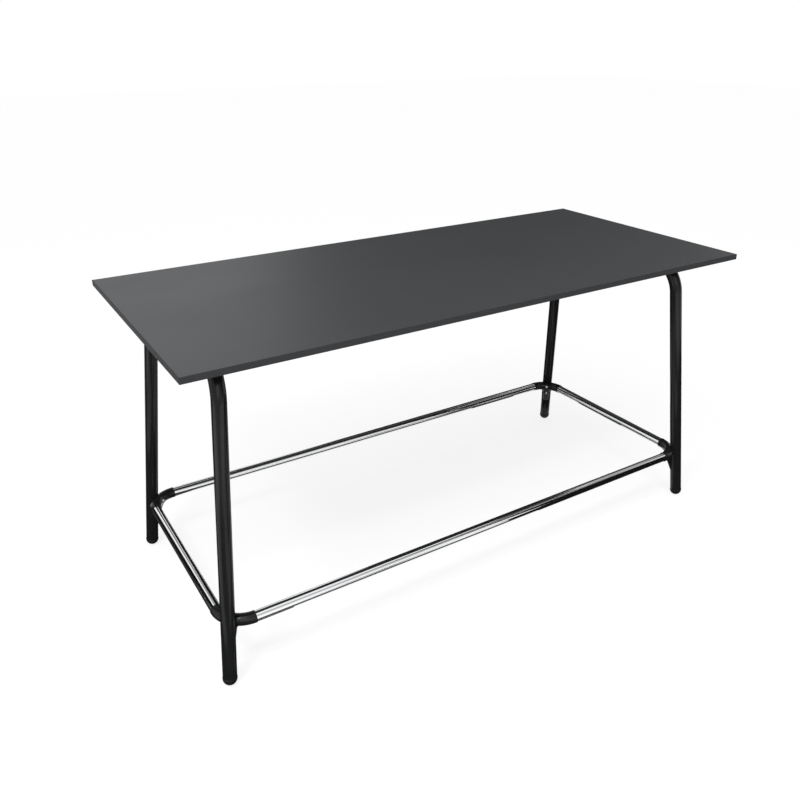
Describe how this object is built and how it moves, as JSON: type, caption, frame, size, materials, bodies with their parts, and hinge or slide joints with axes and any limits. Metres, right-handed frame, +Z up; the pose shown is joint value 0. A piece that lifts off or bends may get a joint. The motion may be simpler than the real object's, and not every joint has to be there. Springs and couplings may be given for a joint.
{
  "type": "standing meeting table",
  "caption": "Standing-height meeting table: rectangular laminate top on splayed bent-tube end frames, braced near the floor by a chromed foot-rail ring held in corner brackets.",
  "frame": {"origin": "on the floor, under the middle of the table top", "axes": "+X along the table, +Y across it towards the back, +Z up"},
  "size_m": [1.8, 0.8, 0.906],
  "materials": {
    "laminate": "satin anthracite high-pressure laminate",
    "edge_band": "anthracite plastic edge band",
    "board_core": "raw particle board",
    "black_powder_coat": "fine satin black powder coat",
    "chromed_tube": "polished chrome plate",
    "plated_steel": "pale zinc plate",
    "black_plastic": "moulded black plastic"
  },
  "bodies": {
    "table": {"bracket_screw_back_left_lower": "plated_steel", "bracket_screw_back_left_upper": "plated_steel", "bracket_screw_back_right_lower": "plated_steel", "bracket_screw_back_right_upper": "plated_steel", "bracket_screw_front_left_lower": "plated_steel", "bracket_screw_front_left_upper": "plated_steel", "bracket_screw_front_right_lower": "plated_steel", "bracket_screw_front_right_upper": "plated_steel", "corner_bracket_back_left": "black_powder_coat", "corner_bracket_back_right": "black_powder_coat", "corner_bracket_front_left": "black_powder_coat", "corner_bracket_front_right": "black_powder_coat", "edge_band_back": "edge_band", "edge_band_front": "edge_band", "edge_band_left": "edge_band", "edge_band_right": "edge_band", "fixing_plate_left_back": "black_powder_coat", "fixing_plate_left_front": "black_powder_coat", "fixing_plate_right_back": "black_powder_coat", "fixing_plate_right_front": "black_powder_coat", "fixing_screw_left_back_inner": "plated_steel", "fixing_screw_left_back_outer": "plated_steel", "fixing_screw_left_front_inner": "plated_steel", "fixing_screw_left_front_outer": "plated_steel", "fixing_screw_right_back_inner": "plated_steel", "fixing_screw_right_back_outer": "plated_steel", "fixing_screw_right_front_inner": "plated_steel", "fixing_screw_right_front_outer": "plated_steel", "foot_rail_back": "chromed_tube", "foot_rail_front": "chromed_tube", "foot_rail_left": "chromed_tube", "foot_rail_right": "chromed_tube", "leg_frame_left": "black_powder_coat", "leg_frame_right": "black_powder_coat", "leg_insert_back_left": "black_plastic", "leg_insert_back_right": "black_plastic", "leg_insert_front_left": "black_plastic", "leg_insert_front_right": "black_plastic", "stiffener_back": "black_powder_coat", "stiffener_front": "black_powder_coat", "stiffener_screw_back_1": "plated_steel", "stiffener_screw_back_2": "plated_steel", "stiffener_screw_back_3": "plated_steel", "stiffener_screw_back_4": "plated_steel", "stiffener_screw_front_1": "plated_steel", "stiffener_screw_front_2": "plated_steel", "stiffener_screw_front_3": "plated_steel", "stiffener_screw_front_4": "plated_steel", "top_core": "board_core", "top_laminate": "laminate", "underside_laminate": "laminate"},
    "foot_front_left": {"glide_front_left": "black_plastic", "levelling_stud_front_left": "plated_steel"},
    "foot_front_right": {"glide_front_right": "black_plastic", "levelling_stud_front_right": "plated_steel"},
    "foot_back_right": {"glide_back_right": "black_plastic", "levelling_stud_back_right": "plated_steel"},
    "foot_back_left": {"glide_back_left": "black_plastic", "levelling_stud_back_left": "plated_steel"}
  },
  "joints": [
    {"name": "level_front_left", "type": "slide", "parent": "table", "child": "foot_front_left", "axis": [-0.104, -0.104, -0.9891], "range_m": [0, 0.01]},
    {"name": "level_front_right", "type": "slide", "parent": "table", "child": "foot_front_right", "axis": [0.104, -0.104, -0.9891], "range_m": [0, 0.01]},
    {"name": "level_back_right", "type": "slide", "parent": "table", "child": "foot_back_right", "axis": [0.104, 0.104, -0.9891], "range_m": [0, 0.01]},
    {"name": "level_back_left", "type": "slide", "parent": "table", "child": "foot_back_left", "axis": [-0.104, 0.104, -0.9891], "range_m": [0, 0.01]}
  ]
}
